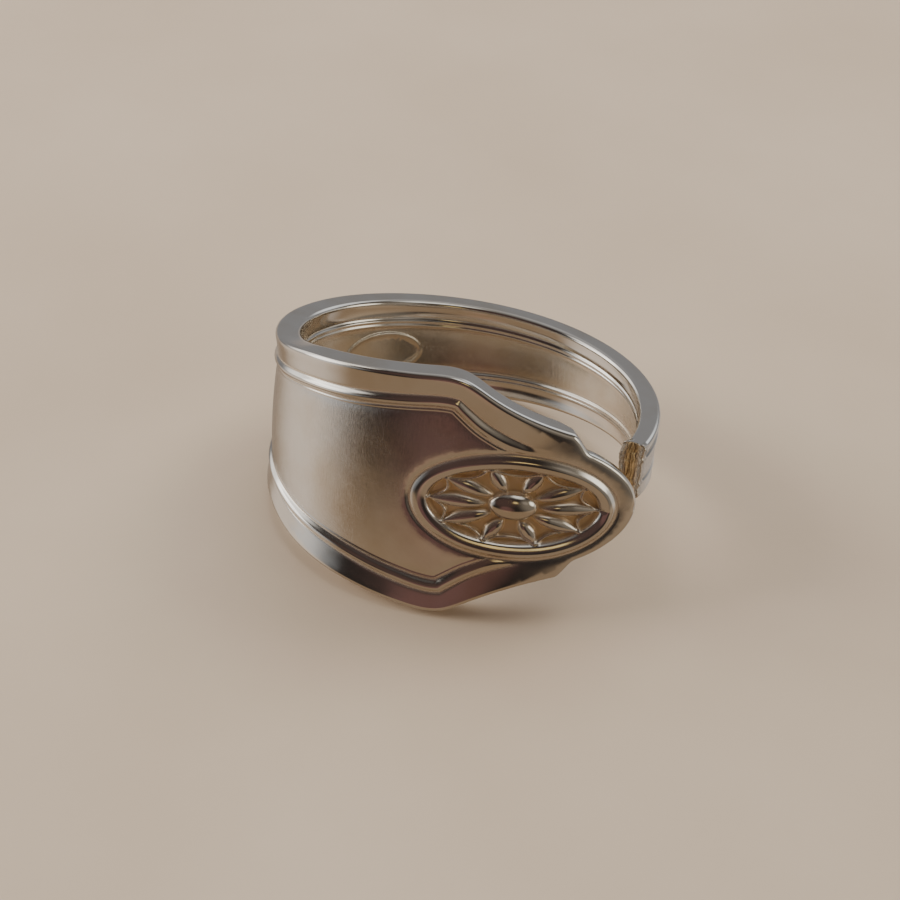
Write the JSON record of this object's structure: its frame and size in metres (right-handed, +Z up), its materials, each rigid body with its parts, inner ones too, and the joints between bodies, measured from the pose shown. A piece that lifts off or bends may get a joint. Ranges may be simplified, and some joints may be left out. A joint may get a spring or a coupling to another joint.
{
  "type": "spoon ring",
  "caption": "Finger ring rolled from the patterned end of a silver spoon handle, with threaded edges, pointed shoulders and an oval flower medallion, resting on its side.",
  "frame": {"origin": "middle of the bottom of the box, on the surface the ring lies on", "axes": "+Z up as the ring rests on its side by itself, -Y the side with the shoulders and the medallion, +X towards the gap where the tip meets the cut end"},
  "size_m": [0.0238, 0.022, 0.0151],
  "materials": {
    "silver": "worn polished silver plate, warm tarnish in the recesses"
  },
  "bodies": {
    "root": {"ring_band": "silver"}
  },
  "joints": []
}
